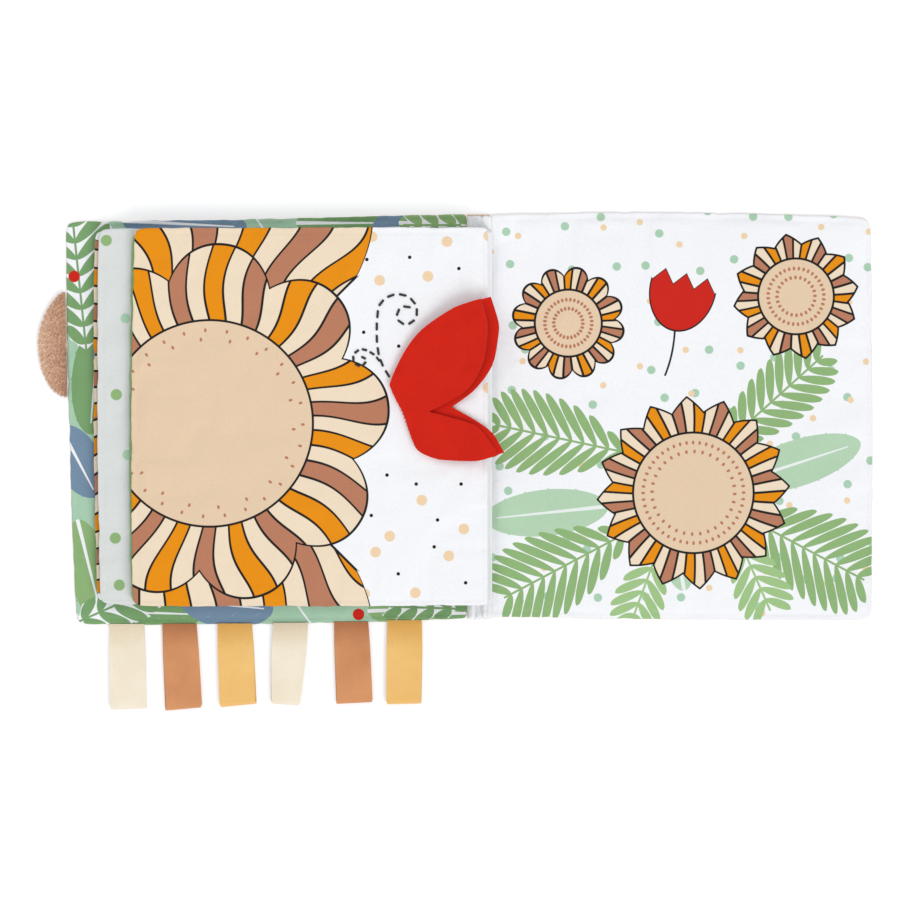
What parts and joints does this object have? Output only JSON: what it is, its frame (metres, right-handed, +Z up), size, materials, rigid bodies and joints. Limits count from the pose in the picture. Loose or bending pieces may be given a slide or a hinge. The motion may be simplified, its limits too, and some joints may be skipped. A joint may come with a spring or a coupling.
{
  "type": "crinkle cloth book",
  "caption": "Soft crinkle cloth book lying open at its last spread, with padded leaves that turn, loose felt butterfly wings, a plush lobe and satin ribbon loops.",
  "frame": {"origin": "under the spine, where the covers meet, on the flat underside", "axes": "+X towards the right page, +Y towards the top edge of the book, +Z up from the table"},
  "size_m": [0.3724, 0.221, 0.0195],
  "materials": {
    "cover_cloth": "matte",
    "leaf_print_cloth": "matte",
    "white_cloth": "matte",
    "slate_cloth": "matte",
    "striped_cloth": "matte",
    "grey_cloth": "matte",
    "sage_cloth": "matte",
    "wadding": "matte",
    "crinkle_film": "gloss",
    "red_felt": "matte",
    "plush": "matte",
    "cream_satin": "satin",
    "brown_satin": "satin",
    "gold_satin": "satin"
  },
  "bodies": {
    "front_cover": {"front_cover_outer_cloth": "cover_cloth", "front_cover_film": "crinkle_film", "front_cover_wadding": "wadding", "front_cover_lining": "leaf_print_cloth", "spine_cloth": "cover_cloth", "spine_lining": "white_cloth"},
    "back_cover": {"back_cover_outer_cloth": "cover_cloth", "back_cover_film": "crinkle_film", "back_cover_wadding": "wadding", "back_cover_lining": "white_cloth"},
    "leaf_1": {"leaf_1_back_cloth": "slate_cloth", "leaf_1_film": "crinkle_film", "leaf_1_front_cloth": "striped_cloth"},
    "leaf_2": {"leaf_2_back_cloth": "sage_cloth", "leaf_2_film": "crinkle_film", "leaf_2_front_cloth": "grey_cloth", "leaf_2_gutter_cloth": "white_cloth"},
    "leaf_3": {"leaf_3_back_cloth": "sage_cloth", "leaf_3_film": "crinkle_film", "leaf_3_front_cloth": "white_cloth", "leaf_3_gutter_cloth": "white_cloth"},
    "leaf_4": {"leaf_4_back_cloth": "white_cloth", "leaf_4_film": "crinkle_film", "leaf_4_front_cloth": "white_cloth", "leaf_4_gutter_cloth": "white_cloth", "butterfly_stitches": "red_felt"},
    "lower_wings": {"butterfly_lower_wings": "red_felt"},
    "upper_wings": {"butterfly_upper_wings": "red_felt"},
    "lobe": {"lobe_under_plush": "plush", "lobe_stuffing": "wadding", "lobe_upper_plush": "plush"},
    "loop_1": {"ribbon_loop_1": "cream_satin"},
    "loop_2": {"ribbon_loop_2": "brown_satin"},
    "loop_3": {"ribbon_loop_3": "gold_satin"},
    "loop_4": {"ribbon_loop_4": "cream_satin"},
    "loop_5": {"ribbon_loop_5": "brown_satin"},
    "loop_6": {"ribbon_loop_6": "gold_satin"}
  },
  "joints": [
    {"name": "back_cover_fold", "type": "hinge", "parent": "front_cover", "child": "back_cover", "pos_m": [0, 0, 0.012], "axis": [0, 1, 0], "range_deg": [-180, 0], "deforming": ["spine_cloth", "spine_lining"]},
    {"name": "leaf_1_turn", "type": "hinge", "parent": "front_cover", "child": "leaf_1", "pos_m": [0.005, 0, 0.012], "axis": [0, 1, 0], "range_deg": [0, 180]},
    {"name": "leaf_2_turn", "type": "hinge", "parent": "leaf_1", "child": "leaf_2", "pos_m": [0.005, 0, 0.012], "axis": [0, 1, 0], "range_deg": [0, 180], "deforming": ["leaf_2_gutter_cloth"]},
    {"name": "leaf_3_turn", "type": "hinge", "parent": "leaf_2", "child": "leaf_3", "pos_m": [0.0083, 0, 0.012], "axis": [0, 1, 0], "range_deg": [0, 180], "deforming": ["leaf_3_gutter_cloth"]},
    {"name": "leaf_4_turn", "type": "hinge", "parent": "leaf_3", "child": "leaf_4", "pos_m": [0.0083, 0, 0.012], "axis": [0, 1, 0], "range_deg": [0, 180], "deforming": ["leaf_4_gutter_cloth"]},
    {"name": "lower_wings_lift", "type": "hinge", "parent": "leaf_4", "child": "lower_wings", "pos_m": [-0.0317, 0.00255, 0.0174], "axis": [0.3366, -0.9417, 0], "range_deg": [0, 85], "deforming": ["butterfly_lower_wings"]},
    {"name": "upper_wings_lift", "type": "hinge", "parent": "lower_wings", "child": "upper_wings", "pos_m": [-0.0317, 0.00255, 0.0182], "axis": [0.3366, -0.9417, 0], "range_deg": [0, 85], "deforming": ["butterfly_upper_wings"]},
    {"name": "lobe_bend", "type": "hinge", "parent": "front_cover", "child": "lobe", "pos_m": [-0.18, 0.0326, 0.0023], "axis": [0, 1, 0], "range_deg": [0, 90]},
    {"name": "loop_1_bend", "type": "hinge", "parent": "front_cover", "child": "loop_1", "pos_m": [-0.1538, -0.0918, 0.0016], "axis": [-1, 0, 0], "range_deg": [0, 100]},
    {"name": "loop_2_bend", "type": "hinge", "parent": "front_cover", "child": "loop_2", "pos_m": [-0.1303, -0.0918, 0.0016], "axis": [-1, 0, 0], "range_deg": [0, 100]},
    {"name": "loop_3_bend", "type": "hinge", "parent": "front_cover", "child": "loop_3", "pos_m": [-0.1055, -0.0918, 0.0016], "axis": [-1, 0, 0], "range_deg": [0, 100]},
    {"name": "loop_4_bend", "type": "hinge", "parent": "front_cover", "child": "loop_4", "pos_m": [-0.0808, -0.0918, 0.0016], "axis": [-1, 0, 0], "range_deg": [0, 100]},
    {"name": "loop_5_bend", "type": "hinge", "parent": "front_cover", "child": "loop_5", "pos_m": [-0.0533, -0.0918, 0.0016], "axis": [-1, 0, 0], "range_deg": [0, 100]},
    {"name": "loop_6_bend", "type": "hinge", "parent": "front_cover", "child": "loop_6", "pos_m": [-0.0293, -0.0918, 0.0016], "axis": [-1, 0, 0], "range_deg": [0, 100]}
  ]
}
